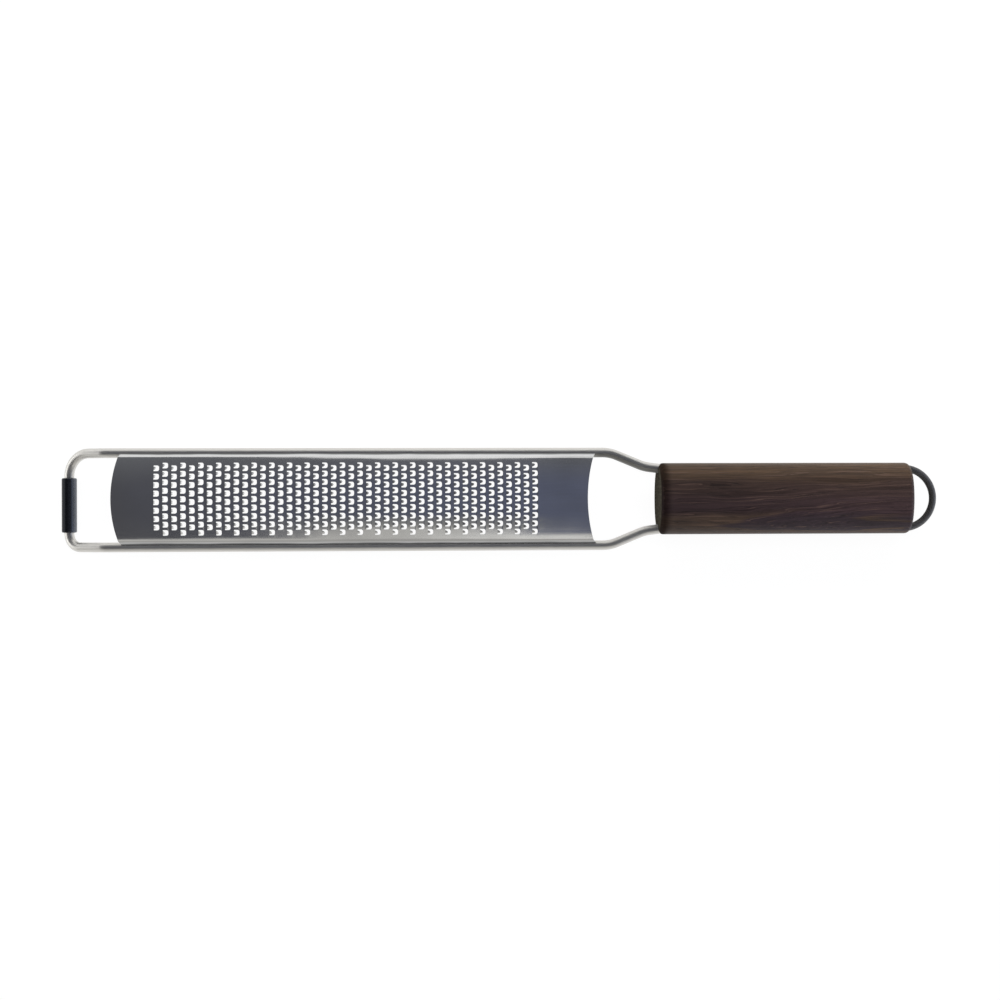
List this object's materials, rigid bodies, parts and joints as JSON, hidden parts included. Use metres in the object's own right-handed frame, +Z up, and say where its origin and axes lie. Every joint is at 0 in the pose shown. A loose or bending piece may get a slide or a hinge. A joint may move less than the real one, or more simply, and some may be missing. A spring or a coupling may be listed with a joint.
{
  "type": "hand grater",
  "caption": "Long rasp-type hand grater: arched, etched steel blade welded onto the rails of a bent wire frame with a dropped, sleeved nose, an oval dark wooden handle and a wire hanging loop.",
  "frame": {"origin": "on the surface that the grater rests on, under the middle of its box", "axes": "+X along the tool from the nose to the hanging loop, +Y across the blade, +Z up from the resting surface, the way the teeth face"},
  "size_m": [0.365, 0.0426, 0.022],
  "materials": {
    "smoked_oak": "smoked open-grained oak, oiled to a soft sheen",
    "polished_steel": "polished stainless steel rod",
    "etched_steel": "rolled stainless steel sheet with etched teeth",
    "black_rubber": "smooth black rubber with a soft sheen",
    "dark_wire": "drawn stainless steel wire"
  },
  "bodies": {
    "root": {"handle": "smoked_oak", "frame_wire": "polished_steel", "grating_blade": "etched_steel", "nose_sleeve": "black_rubber", "hanging_loop": "dark_wire"}
  },
  "joints": []
}
